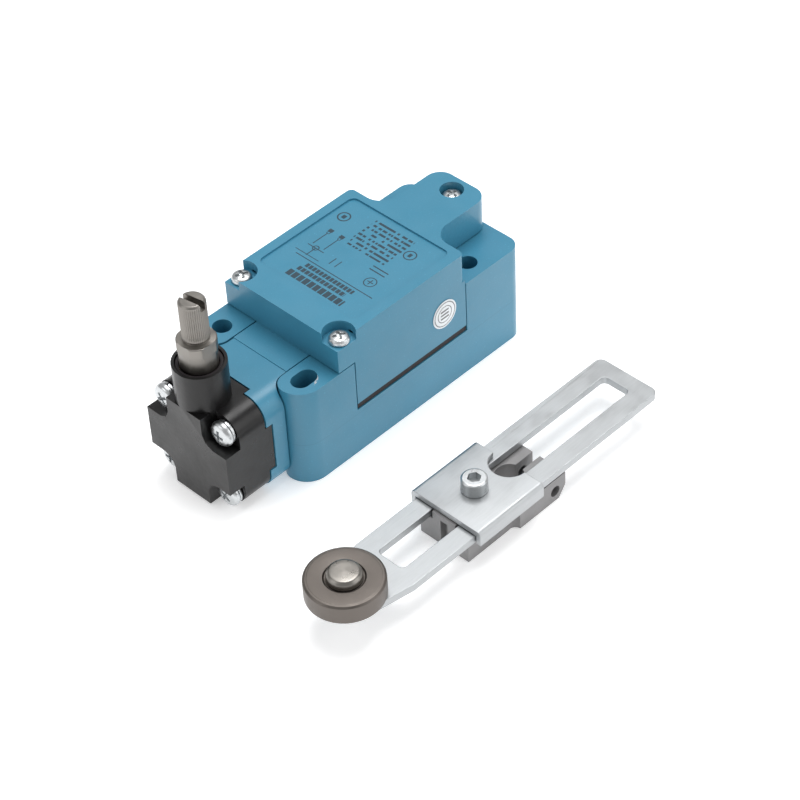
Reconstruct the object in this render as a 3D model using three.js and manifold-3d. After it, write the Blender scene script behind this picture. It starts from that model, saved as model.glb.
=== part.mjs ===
// Side-rotary limit switch: a die-cast plug-in unit on its base, with its loose adjustable roller lever beside it.
// Millimetres, +Z up. The origin is the centre of the base's mounting face, X runs along the body towards the
// conduit end, and the lever lies on the same surface on the -Y side.
import * as THREE from 'three';
import { mergeVertices } from 'three/addons/utils/BufferGeometryUtils.js';
import Module from 'manifold-3d';

const wasm = await Module();
wasm.setup();

// ---- driving dimensions -------------------------------------------------------------------------------------
const WELD = 0.004;              // edges shorter than this, left by a cut, are closed up
const GAP = 0.3;                 // clearance between pieces that rest on or pass each other

const HALF_WIDTH = 20.5;         // base and cover, half of 41 mm
const SHOULDER_Z = 30.5;         // top of the base's ears and of its rear part
const COVER_Z = 40.8;            // top of the cover
const REAR_X = 45;               // rear end of the base and of the cover's tail
const HOLE_X = 30;               // mounting holes, 60 mm apart along X
const HOLE_Y = 15;               // and 30 mm apart across
const HOLE_R = 2.65;             // clearance for an M5 screw
const SLOT_SHIFT = 1.1;          // half of the near front hole's elongation
const FLOOR = 2.6;               // base floor thickness
const WALL_IN = 18.1;            // half width of the cavity
const CHANNEL = 10;              // half width of the open channel between the ears
const EAR_R = 6.5;               // ear's outer rounding
const EAR_IN_R = 4;              // ear's inner rounding
const EAR_CX = -30.2;            // centre of the outer rounding
const CORNER_R = 4;              // rear vertical corners
const WINDOW = { x0: -17.6, x1: 23.5, z: 14.4 };   // side openings that take the cover's skirts
const CAVITY_X = [-16.5, 21.5];
const REAR_WELL = { x0: 21, x1: 35.5, y: 7.2 };    // wiring well under the tail
const CONDUIT = { r: 9.5, z: 14.5, x: 34 };        // conduit entry through the rear end

const COVER_X = [-23, 23.2];
const SKIRT_Z = 16.4;            // lower edge of the side skirts
const TAIL = { y: 9, r: 4.5, fillet: 5.5 };
const NECK = { x0: -43.5, half: 14.8, z0: 0.7, z1: 30.3, r: 5.8, bore: 4.2, spring: 2.9, camClear: 7.4 };
const TONGUE_Y = 9.65;           // half width of the neck between the ears
const PANEL = { x0: -14, x1: 21.1, y: 17.6, r: 2, deep: 0.55 };
const COVER_SCREW = { x: -19.6, y: 17.7, pocketR: 4.3, pocketZ: 37.9, headR: 2.75, shankR: 1.5, length: 16 };
const TAIL_SCREW = { x: 40.3, pocketR: 3.3, pocketZ: 37.6, length: 11 };

const AXIS_Z = 15.5;             // centre line of the head, the plungers and the contact carrier
const HEAD = { x0: -57.4, step: -52.4, x1: -43.8, half: 14.6, r: 5.8, notch: 6.3, notchR: 3.4 };
const HEAD_SCREW_AT = 10.4;      // head screws, from the centre line
const TAB = { half: 7.2, deep: 2.1, thick: 1.7 };
const SHAFT_X = -50.4;
const BOSS = { r: 7.1, z: 41.6 };
const SHAFT = { r: 3.55, top: 61.5, collarR: 5.15, collarZ: 49.3, neckR: 4.95, neckTop: 46,
  bodyR: 4, pilotR: 3, flat: 4.6 };
const SHAFT_SLOT = { width: 1.6, deep: 2.2, turn: 10 };   // screwdriver slot, degrees from Y
const CAM = { z0: 12.6, z1: 18.4, base: 4.9, turn: 75 };   // turn: degrees from rest to the limit
const TRAVEL = 3;                // plunger travel over the shaft's whole turn

const LEVER = { x: -16.7, y: -60.3, z: 10 };       // clamp screw's axis, at the arm's upper face
const ARM = { half: 9.95, slot: 4.35, x1: 59.1, slot0: -30.2, slot1: 54.2, bend: -32, thick: 2.3, tipR: 7.4 };
const ROLLER = { x: -45.4, r: 10.2, z0: 10.35, z1: 16.35, bore: 3.3, recessR: 5.2, recess: 0.5 };
const BRACKET = { x0: -10.6, x1: 12.7, half: 11.8, thick: 1.7, inner: 10.25, z0: 7.6, notchR: 5.3 };
const HUB = { x0: -11.3, x1: 22.9, step: 4.2, y0: 8.2, y1: 9.9, z1: 7.4, bore: 3.85, split: 1.2, rib: 3.9,
  chamfer: { turn: 38, z: 3.2 } };
const CAP = { r: 3.5, z: 4, shank: 2, socket: 1.73, socketDeep: 2.2 };

// ---- solids -------------------------------------------------------------------------------------------------
const solid = (geometry) => {
  geometry.deleteAttribute('normal');
  geometry.deleteAttribute('uv');
  const merged = mergeVertices(geometry, 1e-5);
  return new wasm.Manifold(new wasm.Mesh({
    numProp: 3,
    vertProperties: new Float32Array(merged.attributes.position.array),
    triVerts: new Uint32Array(merged.index.array),
  }));
};

const geometryOf = (manifold) => {
  const mesh = manifold.getMesh();
  const geometry = new THREE.BufferGeometry();
  geometry.setAttribute('position', new THREE.BufferAttribute(new Float32Array(mesh.vertProperties), 3));
  geometry.setIndex(new THREE.BufferAttribute(new Uint32Array(mesh.triVerts), 1));
  geometry.computeVertexNormals();
  return geometry;
};

// box between two corners
const box = (x0, x1, y0, y1, z0, z1) => solid(
  new THREE.BoxGeometry(x1 - x0, y1 - y0, z1 - z0).translate((x0 + x1) / 2, (y0 + y1) / 2, (z0 + z1) / 2));

// cylinder along Z, X or Y, from a to b on that axis; u and v place it on the other two axes
const cylZ = (r, a, b, u = 0, v = 0, n = 32, r2 = r) => solid(
  new THREE.CylinderGeometry(r2, r, b - a, n).rotateX(Math.PI / 2).translate(u, v, (a + b) / 2));
const cylX = (r, a, b, u = 0, v = 0, n = 28, r2 = r) => solid(
  new THREE.CylinderGeometry(r2, r, b - a, n).rotateZ(-Math.PI / 2).translate((a + b) / 2, u, v));
const cylY = (r, a, b, u = 0, v = 0, n = 20) => solid(
  new THREE.CylinderGeometry(r, r, b - a, n).translate(u, (a + b) / 2, v));

// outline extruded along Z from z0 to z1
const plate = (shape, z0, z1, curve = 6) => solid(
  new THREE.ExtrudeGeometry(shape, { depth: z1 - z0, bevelEnabled: false, curveSegments: curve })
    .translate(0, 0, z0));

// outline drawn in (Y, Z) and extruded along X from x0 to x1
const alongX = (shape, x0, x1, curve = 6) => solid(
  new THREE.ExtrudeGeometry(shape, { depth: x1 - x0, bevelEnabled: false, curveSegments: curve })
    .rotateX(Math.PI / 2).rotateZ(Math.PI / 2).translate(x0, 0, 0));

// profile of (radius, height) pairs turned about Z
const turned = (points, n = 32) => solid(
  new THREE.LatheGeometry(points.map(([r, z]) => new THREE.Vector2(r, z)), n).rotateX(Math.PI / 2));

const tube = (rIn, rOut, z0, z1, n = 28) => turned([[rIn, z0], [rOut, z0], [rOut, z1], [rIn, z1], [rIn, z0]], n);

const unite = (...parts) => parts.reduce((a, b) => a.add(b));
const cut = (body, ...tools) => tools.reduce((a, b) => a.subtract(b), body);

// rectangle with rounded corners, centred on (cx, cy)
const roundRect = (cx, cy, hx, hy, r) => {
  const s = new THREE.Shape();
  s.moveTo(cx - hx + r, cy - hy);
  s.lineTo(cx + hx - r, cy - hy);
  s.absarc(cx + hx - r, cy - hy + r, r, -Math.PI / 2, 0);
  s.absarc(cx + hx - r, cy + hy - r, r, 0, Math.PI / 2);
  s.absarc(cx - hx + r, cy + hy - r, r, Math.PI / 2, Math.PI);
  s.absarc(cx - hx + r, cy - hy + r, r, Math.PI, 1.5 * Math.PI);
  s.closePath();
  return s;
};

// ---- assembly -----------------------------------------------------------------------------------------------
const part = new THREE.Group();
const FINISH = {
  paint: [0x4f8fae, 0.45, 0.2], black: [0x1d1d1f, 0.4, 0.1], zinc: [0xc6ccd2, 0.35, 0.9],
  steel: [0xa39d95, 0.4, 0.9], sintered: [0x6f6660, 0.5, 0.7], diecast: [0x8d8a8c, 0.55, 0.7],
  rubber: [0x18181a, 0.9, 0], plastic: [0x24262a, 0.6, 0], brass: [0xb58a3c, 0.35, 0.9],
  bronze: [0x9a6a3a, 0.4, 0.8], white: [0xe8eaec, 0.5, 0], nylon: [0xd8d3c4, 0.5, 0],
};
const add = (name, manifold, finish, place = part) => {
  const [color, roughness, metalness] = FINISH[finish];
  const mesh = new THREE.Mesh(geometryOf(manifold.simplify(WELD)), new THREE.MeshStandardMaterial({ color, roughness, metalness }));
  mesh.name = name;
  place.add(mesh);
  return mesh;
};
const SIDES = [['near', -1], ['far', 1]];

// ear outline, grown by g, reaching past the base's edges by reach
const earOutline = (side, g, reach = 0) => {
  const s = new THREE.Shape();
  const inner = CHANNEL - g;
  const cy = CHANNEL + EAR_IN_R;
  const outer = cy + EAR_R + reach;
  s.moveTo(-20, inner * side);
  s.lineTo(EAR_CX - EAR_R + EAR_IN_R, inner * side);
  s.absarc(EAR_CX - EAR_R + EAR_IN_R, cy * side, EAR_IN_R + g, -side * Math.PI / 2, Math.PI, side > 0);
  if (reach > 0) {
    s.lineTo(EAR_CX - EAR_R - g, outer * side);
    s.lineTo(-20, outer * side);
  } else {
    s.absarc(EAR_CX, cy * side, EAR_R + g, Math.PI, side * Math.PI / 2, side > 0);
    s.lineTo(-20, outer * side);
  }
  s.closePath();
  return s;
};

// base: U-shaped front with two ears, open cavity, side windows, wiring well and conduit entry
const baseOutline = () => {
  const s = new THREE.Shape();
  s.moveTo(-22, -HALF_WIDTH);
  s.lineTo(REAR_X - CORNER_R, -HALF_WIDTH);
  s.absarc(REAR_X - CORNER_R, -HALF_WIDTH + CORNER_R, CORNER_R, -Math.PI / 2, 0);
  s.absarc(REAR_X - CORNER_R, HALF_WIDTH - CORNER_R, CORNER_R, 0, Math.PI / 2);
  s.lineTo(-22, HALF_WIDTH);
  s.closePath();
  return s;
};
const windowCut = (side) => box(WINDOW.x0, WINDOW.x1, ...[side * (WALL_IN - 0.2), side * (HALF_WIDTH + 1)]
  .sort((a, b) => a - b), WINDOW.z, SHOULDER_Z + 1);
const mountHole = (x, y) => cylZ(HOLE_R, -1, SHOULDER_Z + 1, x, y, 24);
const SCREW_HOLE_R = COVER_SCREW.shankR + GAP;
const base = () => {
  let body = plate(baseOutline(), 0, SHOULDER_Z, 8);
  for (const [, side] of SIDES) body = body.add(plate(earOutline(side, 0), 0, SHOULDER_Z, 10));
  body = cut(body,
    box(-23, -20, -CHANNEL, CHANNEL, -1, SHOULDER_Z + 1),
    box(-20.2, CAVITY_X[0] + 1, -CHANNEL, CHANNEL, FLOOR, SHOULDER_Z + 1),
    box(...CAVITY_X, -WALL_IN, WALL_IN, FLOOR, SHOULDER_Z + 1),
    box(REAR_WELL.x0, REAR_WELL.x1, -REAR_WELL.y, REAR_WELL.y, FLOOR, SHOULDER_Z + 1),
    windowCut(-1), windowCut(1),
    mountHole(-HOLE_X, HOLE_Y), mountHole(HOLE_X, HOLE_Y), mountHole(HOLE_X, -HOLE_Y),
    mountHole(-HOLE_X - SLOT_SHIFT, -HOLE_Y), mountHole(-HOLE_X + SLOT_SHIFT, -HOLE_Y),
    box(-HOLE_X - SLOT_SHIFT, -HOLE_X + SLOT_SHIFT, -HOLE_Y - HOLE_R, -HOLE_Y + HOLE_R, -1, SHOULDER_Z + 1),
    cylX(CONDUIT.r, CONDUIT.x, REAR_X + 1, 0, CONDUIT.z, 40),
    cylZ(SCREW_HOLE_R, 12, SHOULDER_Z + 1, COVER_SCREW.x, COVER_SCREW.y, 16),
    cylZ(SCREW_HOLE_R, 12, SHOULDER_Z + 1, COVER_SCREW.x, -COVER_SCREW.y, 16),
    cylZ(SCREW_HOLE_R, CONDUIT.z + CONDUIT.r + 1.2, SHOULDER_Z + 1, TAIL_SCREW.x, 0, 16));
  return body;
};
add('base', base(), 'paint');

// gasket strips between the base's side ledges and the cover's skirts
for (const [name, side] of SIDES) {
  const [a, b] = [side * 18.3, side * 20.2].sort((p, q) => p - q);
  add(`gasket_${name}`, box(-17.2, COVER_X[1], a, b, WINDOW.z + 0.1, SKIRT_Z - 0.15), 'rubber');
}

// terminal block on the base's floor, with a socket and a clamp screw for each of its poles
const POLES = [-9, -3, 3, 9];
const TERMINAL_Z = 9.4;
const terminalBlock = () => {
  let block = box(-11, 17.5, -13, 13, FLOOR + GAP, TERMINAL_Z);
  for (const y of POLES) {
    block = cut(block,
      box(-5.4, 2, y - 1.5, y + 1.5, 4.4, TERMINAL_Z + 1),
      box(9, 18, y - 2.5, y + 2.5, TERMINAL_Z - 1.6, TERMINAL_Z + 1),
      cylZ(1.6, 4.6, TERMINAL_Z, 12.5, y, 12));
  }
  return cut(block, cylZ(1.7, 0, TERMINAL_Z + 1, -8.5, 10.6, 12), cylZ(1.7, 0, TERMINAL_Z + 1, -8.5, -10.6, 12));
};
add('terminal_block', terminalBlock(), 'plastic');
POLES.forEach((y, i) => {
  const clamp = cut(box(10, 15.2, y - 2.1, y + 2.1, TERMINAL_Z - 1.4, TERMINAL_Z - 0.6),
    cylZ(1.6, 0, 20, 12.5, y, 12));
  add(`terminal_clamp_${i + 1}`, clamp, 'brass');
  const screw = cut(unite(cylZ(1.3, 5, TERMINAL_Z, 12.5, y, 12), cylZ(2, TERMINAL_Z - 0.3, TERMINAL_Z + 1, 12.5, y, 16)),
    box(10, 15, y - 0.3, y + 0.3, TERMINAL_Z + 0.4, TERMINAL_Z + 2));
  add(`terminal_screw_${i + 1}`, screw, 'zinc');
});
const groundScrew = cut(cylZ(3.2, FLOOR, FLOOR + 2.4, 27, 0, 20), box(23, 31, -0.5, 0.5, FLOOR + 1.4, FLOOR + 4));
add('ground_screw', groundScrew, 'brass');

// ---- plug-in unit -------------------------------------------------------------------------------------------
const coverOutline = () => {
  const s = new THREE.Shape();
  const [x0, x1] = COVER_X;
  const r = 1.6;
  const f = TAIL.fillet;
  s.moveTo(x0, -HALF_WIDTH);
  s.lineTo(x1 - r, -HALF_WIDTH);
  s.absarc(x1 - r, -HALF_WIDTH + r, r, -Math.PI / 2, 0);
  s.lineTo(x1, -TAIL.y - f);
  s.absarc(x1 + f, -TAIL.y - f, f, Math.PI, Math.PI / 2, true);
  s.lineTo(REAR_X - TAIL.r, -TAIL.y);
  s.absarc(REAR_X - TAIL.r, -TAIL.y + TAIL.r, TAIL.r, -Math.PI / 2, 0);
  s.absarc(REAR_X - TAIL.r, TAIL.y - TAIL.r, TAIL.r, 0, Math.PI / 2);
  s.lineTo(x1 + f, TAIL.y);
  s.absarc(x1 + f, TAIL.y + f, f, -Math.PI / 2, Math.PI, true);
  s.lineTo(x1, HALF_WIDTH - r);
  s.absarc(x1 - r, HALF_WIDTH - r, r, 0, Math.PI / 2);
  s.lineTo(x0, HALF_WIDTH);
  s.closePath();
  return s;
};
const neckMid = (NECK.z0 + NECK.z1) / 2;
const neckHalfZ = (NECK.z1 - NECK.z0) / 2;
const tabBox = (x0, x1, grow) => {
  const near = HEAD.half - TAB.thick - grow;
  const reach = HEAD.half + (grow > 0 ? 1 : 0);
  const w = TAB.half + grow;
  return [
    box(x0, x1, -w, w, AXIS_Z + near, AXIS_Z + reach), box(x0, x1, -w, w, AXIS_Z - reach, AXIS_Z - near),
    box(x0, x1, near, reach, AXIS_Z - w, AXIS_Z + w), box(x0, x1, -reach, -near, AXIS_Z - w, AXIS_Z + w),
  ];
};
const forCorners = (make) => [[-1, -1], [-1, 1], [1, -1], [1, 1]].map(([sy, sz]) => make(
  sy * HEAD_SCREW_AT, AXIS_Z + sz * HEAD_SCREW_AT, sy, sz));

const cover = () => {
  const [x0, x1] = COVER_X;
  const bottom = SHOULDER_Z + GAP;
  let shell = plate(coverOutline(), bottom, COVER_Z, 6);
  for (const [, side] of SIDES) {
    const [a, b] = [side * 18.5, side * HALF_WIDTH].sort((p, q) => p - q);
    shell = shell.add(box(WINDOW.x0 + GAP, x1, a, b, SKIRT_Z, bottom + 1));
  }
  // hollow for the contact block, with solid posts at the front corners, and a hollow tail
  shell = cut(shell,
    box(-15.4, 21, -18.3, 18.3, 0, 38.4),
    box(-20.8, -15, -13, 13, 0, 38.4),
    box(20.5, 35.5, -6.6, 6.6, 0, 38.2));
  // neck: rounded square behind the head, narrowed to a tongue between the ears
  const neck = cut(alongX(roundRect(0, neckMid, NECK.half, neckHalfZ, NECK.r), NECK.x0, -30, 8),
    plate(earOutline(-1, 0.4, 4), -1, SHOULDER_Z + 2, 10), plate(earOutline(1, 0.4, 4), -1, SHOULDER_Z + 2, 10));
  const tongue = unite(box(-31, -20.5, -TONGUE_Y, TONGUE_Y, NECK.z0, SHOULDER_Z),
    box(-20.6, -16, -TONGUE_Y, TONGUE_Y, FLOOR + GAP, SHOULDER_Z + 0.1));
  const bridge = box(x0, -20.7, -TONGUE_Y, TONGUE_Y, SHOULDER_Z - 1, bottom + 1);
  shell = unite(shell, neck, tongue, bridge);
  // passage for the plunger, wider at the front for its return spring
  shell = cut(shell, cylX(NECK.spring, -45, -15, 0, AXIS_Z, 24), cylX(NECK.bore, -45, -31, 0, AXIS_Z, 24),
    cylX(NECK.camClear, -45, NECK.x0 + 2, 0, AXIS_Z, 32),
    ...tabBox(-44, HEAD.x1 + TAB.deep + GAP, GAP),
    ...forCorners((y, z) => cylX(2.3, -45, -36, y, z, 14)),
    // recessed label panel, screw pockets and screw holes
    plate(roundRect((PANEL.x0 + PANEL.x1) / 2, 0, (PANEL.x1 - PANEL.x0) / 2, PANEL.y, PANEL.r),
      COVER_Z - PANEL.deep, COVER_Z + 1, 4),
    cylZ(TAIL_SCREW.pocketR, TAIL_SCREW.pocketZ, COVER_Z + 1, TAIL_SCREW.x, 0, 28),
    cylZ(SCREW_HOLE_R, 0, COVER_Z, TAIL_SCREW.x, 0, 16));
  for (const [, side] of SIDES) {
    const y = side * COVER_SCREW.y;
    const [a, b] = [y, side * (HALF_WIDTH + 1)].sort((p, q) => p - q);
    const [c, d] = [y - side * COVER_SCREW.pocketR * 0.6, side * (HALF_WIDTH + 1)].sort((p, q) => p - q);
    shell = cut(shell, cylZ(COVER_SCREW.pocketR, COVER_SCREW.pocketZ, COVER_Z + 1, COVER_SCREW.x, y, 28),
      box(x0 - 1, COVER_SCREW.x, c, d, COVER_SCREW.pocketZ, COVER_Z + 1),
      box(x0 - 1, COVER_SCREW.x + COVER_SCREW.pocketR * 0.5, a, b, COVER_SCREW.pocketZ, COVER_Z + 1),
      cylZ(SCREW_HOLE_R, 0, COVER_Z, COVER_SCREW.x, y, 16));
  }
  return shell;
};
add('cover', cover(), 'paint');

// pan-head cross-recessed screw standing on seatZ
const crossRecess = (x, y, z, size, deep) => unite(
  box(x - size, x + size, y - size * 0.22, y + size * 0.22, z - deep, z + 1),
  box(x - size * 0.22, x + size * 0.22, y - size, y + size, z - deep, z + 1));
const coverScrew = (x, y, seatZ, length) => cut(unite(
  turned([[0, seatZ + 0.1], [2.75, seatZ + 0.1], [2.75, seatZ + 0.9], [2.3, seatZ + 1.6], [1.3, seatZ + 2],
    [0, seatZ + 2.05]], 24).translate([x, y, 0]),
  cylZ(COVER_SCREW.shankR, seatZ - length, seatZ + 0.2, x, y, 16)), crossRecess(x, y, seatZ + 2, 1.5, 1.1));
for (const [name, side] of SIDES) {
  add(`cover_screw_${name}`, coverScrew(COVER_SCREW.x, side * COVER_SCREW.y, COVER_SCREW.pocketZ,
    COVER_SCREW.length), 'zinc');
}
add('tail_screw', coverScrew(TAIL_SCREW.x, 0, TAIL_SCREW.pocketZ, TAIL_SCREW.length), 'zinc');
add('side_sticker', cylY(4.3, -HALF_WIDTH - 0.2, -HALF_WIDTH - 0.05, 15.1, 25.6, 40), 'white');

// contact block inside the cover, with its two fixed contact pairs, bridge, carrier and return spring
const BLOCK = { x0: -13.4, x1: 18.4, y: 14.6, z0: 10.8, z1: 35 };
const contactBlock = () => cut(box(BLOCK.x0, BLOCK.x1, -BLOCK.y, BLOCK.y, BLOCK.z0, BLOCK.z1),
  box(BLOCK.x0 + 1.8, BLOCK.x1 - 1.8, -BLOCK.y + 1.8, BLOCK.y - 1.8, BLOCK.z0 + 1.8, BLOCK.z1 - 1.8),
  cylX(2.9, BLOCK.x0 - 1, BLOCK.x0 + 3, 0, AXIS_Z, 20),
  ...POLES.map((y) => box(-5, 1.6, y - 1.2, y + 1.2, BLOCK.z0 - 1, BLOCK.z0 + 3)));
add('contact_block', contactBlock(), 'plastic');
const CONTACT = { closed: -4.4, open: 0.6, thick: 0.6 };
POLES.forEach((y, i) => {
  const outer = Math.abs(y) > 5;
  const x = outer ? CONTACT.closed : CONTACT.open;
  add(`contact_blade_${i + 1}`, box(x, x + CONTACT.thick, y - 0.9, y + 0.9, 5.2, outer ? 19 : 17.6), 'brass');
});
const BRIDGE = { x0: -3.4, x1: -2.8 };
add('contact_bridge', box(BRIDGE.x0, BRIDGE.x1, -10, 10, AXIS_Z - 1.1, AXIS_Z + 1.1), 'bronze');
add('contact_carrier', cut(unite(cylX(1.7, -19.6, -1, 0, AXIS_Z, 20), cylX(2, -8, -1, 0, AXIS_Z, 20),
  cylX(1.2, -1.5, 12, 0, AXIS_Z, 16)),
  box(BRIDGE.x0 - GAP, BRIDGE.x1 + GAP, -10, 10, AXIS_Z - 1.4, AXIS_Z + 1.4)), 'nylon');

// helical compression spring about the centre line: 6-sided wire on a helix of the given turns
class Helix extends THREE.Curve {
  constructor(r, x0, x1, turns) {
    super();
    Object.assign(this, { r, x0, x1, turns });
  }

  getPoint(t, target = new THREE.Vector3()) {
    const a = 2 * Math.PI * this.turns * t;
    return target.set(this.x0 + (this.x1 - this.x0) * t, this.r * Math.cos(a), AXIS_Z + this.r * Math.sin(a));
  }
}
const springSolid = (r, wire, x0, x1, turns) => {
  const section = new THREE.Shape();
  for (let i = 0; i < 6; i += 1) {
    const a = (i * Math.PI) / 3;
    const p = [wire * Math.cos(a), wire * Math.sin(a)];
    if (i === 0) section.moveTo(...p); else section.lineTo(...p);
  }
  section.closePath();
  return solid(new THREE.ExtrudeGeometry(section,
    { steps: turns * 12, extrudePath: new Helix(r, x0 + wire, x1 - wire, turns), bevelEnabled: false }));
};
add('carrier_spring', springSolid(2, 0.3, 2.3, 16.4, 7), 'steel');

// ---- operating head -----------------------------------------------------------------------------------------
const head = () => {
  const { x0, step, x1, half, r, notch, notchR } = HEAD;
  let body = alongX(roundRect(0, AXIS_Z, half, half, r), step, x1, 8);
  // cross-shaped front with a rounded inner corner at each screw recess
  const quarter = [[-1, -1], [1, -1], [1, 1], [-1, 1]];
  const outline = new THREE.Shape();
  quarter.forEach(([sy, sz], i) => {
    const flip = sy * sz > 0;
    const a = [sy * half, sz * notch];
    const b = [sy * (notch + notchR * 0.3), sz * (notch + notchR * 0.3)];
    const c = [sy * notch, sz * half];
    const [first, last] = flip ? [a, c] : [c, a];
    const points = [first, [flip ? sy * (notch + notchR) : sy * notch, flip ? sz * notch : sz * (notch + notchR)],
      b, [flip ? sy * notch : sy * (notch + notchR), flip ? sz * (notch + notchR) : sz * notch], last];
    points.forEach((p, k) => {
      const at = [p[0], AXIS_Z + p[1]];
      if (i === 0 && k === 0) outline.moveTo(...at); else outline.lineTo(...at);
    });
  });
  outline.closePath();
  body = unite(body, alongX(outline, x0, step + 0.5, 4),
    cylZ(BOSS.r, 27, BOSS.z, SHAFT_X, 0, 40).subtract(box(x1, x1 + 2, -half, half, 20, NECK.z1 + GAP)),
    ...tabBox(x1 - 0.5, x1 + TAB.deep, 0));
  // cam chamber, opening towards the neck; shaft bore with its seal seat and pilot; screw holes
  return cut(body,
    box(x0 - 3, x0, -half, half, -5, 60),
    box(-56, -43, -9.2, 9.2, 10.6, 20.4),
    cylZ(5.9, AXIS_Z, 39.2, SHAFT_X, 0, 28), cylZ(6.3, 39, BOSS.z + 1, SHAFT_X, 0, 28),
    cylZ(SHAFT.pilotR + GAP, 4, AXIS_Z, SHAFT_X, 0, 24),
    ...forCorners((y, z) => cylX(2.3, x0 - 1, x1 + 3, y, z, 14)));
};
add('head', head(), 'black');

forCorners((y, z, sy, sz) => {
  const name = `${sz > 0 ? 'upper' : 'lower'}_${sy > 0 ? 'far' : 'near'}`;
  const screw = cut(unite(cylX(3.6, HEAD.step - 2.5, HEAD.step - 1.2, y, z, 24),
    cylX(2.4, HEAD.step - 3.3, HEAD.step - 2.5, y, z, 24, 3.6), cylX(2, HEAD.step - 2, -37, y, z, 14)),
  box(HEAD.step - 4, HEAD.step - 2.3, y - 4, y + 4, z - 0.45, z + 0.45));
  add(`head_screw_${name}`, screw, 'zinc');
  const washer = cut(cylX(3.3, HEAD.step - 1, HEAD.step - 0.1, y, z, 24),
    cylX(2.3, HEAD.step - 2, HEAD.step + 1, y, z, 16), box(HEAD.step - 2, HEAD.step + 1, y - 0.25, y + 0.25, z, z + 5));
  add(`spring_washer_${name}`, washer, 'zinc');
});

const bush = tube(SHAFT.bodyR + GAP, 5.6, 22, 38.6).translate([SHAFT_X, 0, 0]);
add('shaft_bush', bush, 'bronze');
const seal = tube(SHAFT.neckR + 0.2, 6.1, 39.5, 41.3).translate([SHAFT_X, 0, 0]);
add('shaft_seal', seal, 'rubber');

const shaft = () => {
  const s = SHAFT;
  const body = turned([[0, 5], [s.pilotR, 5], [s.pilotR, 11], [s.bodyR, 11], [s.bodyR, 38.9], [s.neckR, 38.9],
    [s.neckR, s.neckTop], [s.collarR, s.neckTop], [s.collarR, s.collarZ], [s.r, s.collarZ], [s.r, s.top - 0.6], [s.r - 0.6, s.top],
    [0, s.top]], 36).translate([SHAFT_X, 0, 0]);
  const { flat } = s;
  return cut(body,
    box(-SHAFT_SLOT.width / 2, SHAFT_SLOT.width / 2, -6, 6, s.top - SHAFT_SLOT.deep, s.top + 1)
      .rotate([0, 0, SHAFT_SLOT.turn]).translate([SHAFT_X, 0, 0]),
    ...[[flat, 6, -6, 6], [-6, -flat, -6, 6], [-6, 6, flat, 6], [-6, 6, -6, -flat]].map(([x0, x1, y0, y1]) => box(
      SHAFT_X + x0, SHAFT_X + x1, y0, y1, s.neckTop, s.collarZ + 1)));
};
add('shaft', shaft(), 'steel');

// drive cam: its radius grows evenly by the plunger's travel over the shaft's turn, so the motion is proportional
const cam = () => {
  const turn = THREE.MathUtils.degToRad(CAM.turn);
  const at = (r, a) => [SHAFT_X + r * Math.cos(a), r * Math.sin(a)];
  const s = new THREE.Shape();
  const steps = 16;
  s.moveTo(...at(CAM.base, 0));
  for (let i = 1; i <= 20; i += 1) s.lineTo(...at(CAM.base, (i / 20) * (2 * Math.PI - turn - 0.5)));
  s.lineTo(...at(CAM.base + TRAVEL, -turn - 0.12));
  for (let i = 0; i < steps; i += 1) s.lineTo(...at(CAM.base + TRAVEL * (1 - i / steps), -turn * (1 - i / steps)));
  s.closePath();
  return cut(plate(s, CAM.z0, CAM.z1), cylZ(SHAFT.bodyR + GAP, 0, 30, SHAFT_X, 0, 28));
};
add('drive_cam', cam(), 'steel');

const TIP_X = SHAFT_X + CAM.base + 0.3;
add('head_plunger', unite(cylX(0.8, TIP_X, TIP_X + 0.8, 0, AXIS_Z, 20, 2.3), cylX(2.3, TIP_X + 0.8, -20.1, 0, AXIS_Z, 20),
  cylX(3.8, -43.2, -42.3, 0, AXIS_Z, 24)), 'steel');
add('head_spring', springSolid(3.2, 0.35, -39.1, -31.2, 5), 'steel');

// ---- loose roller lever -------------------------------------------------------------------------------------
const lever = new THREE.Group();
lever.position.set(LEVER.x, LEVER.y, 0);
part.add(lever);

const leverHub = () => {
  const h = HUB;
  let body = unite(box(h.x0, h.x1, -h.y0, h.y0, 0, h.z1), box(h.step, h.x1, -h.y1, h.y1, 0, h.z1),
    box(h.x0, 7, -h.rib, h.rib, h.z1 - 1, LEVER.z));
  body = cut(body,
    cylZ(h.bore, -1, h.z1 + 1, BRACKET.x1, 0, 36),
    box(BRACKET.x1, h.x1 + 1, -h.split, h.split, -1, h.z1 + 1),
    cylY(1.6, -12, 12, 19, 3.3, 16),
    cylZ(CAP.shank + GAP, -1, LEVER.z + 1, 0, 0, 20),
    cylZ(1.8, -1, h.z1 + 1, h.step - 0.2, -h.y1, 16), cylZ(1.8, -1, h.z1 + 1, h.step - 0.2, h.y1, 16),
    box(h.x0 - 1, h.x0 + 2, -1.2, 1.2, -1, h.z1 + 1),
    // sloped lower end of both jaws
    box(0, 10, -12, 12, -10, 0).rotate([0, h.chamfer.turn, 0]).translate([h.x1, 0, h.chamfer.z]));
  return body;
};
add('lever_hub', leverHub(), 'diecast', lever);

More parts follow.
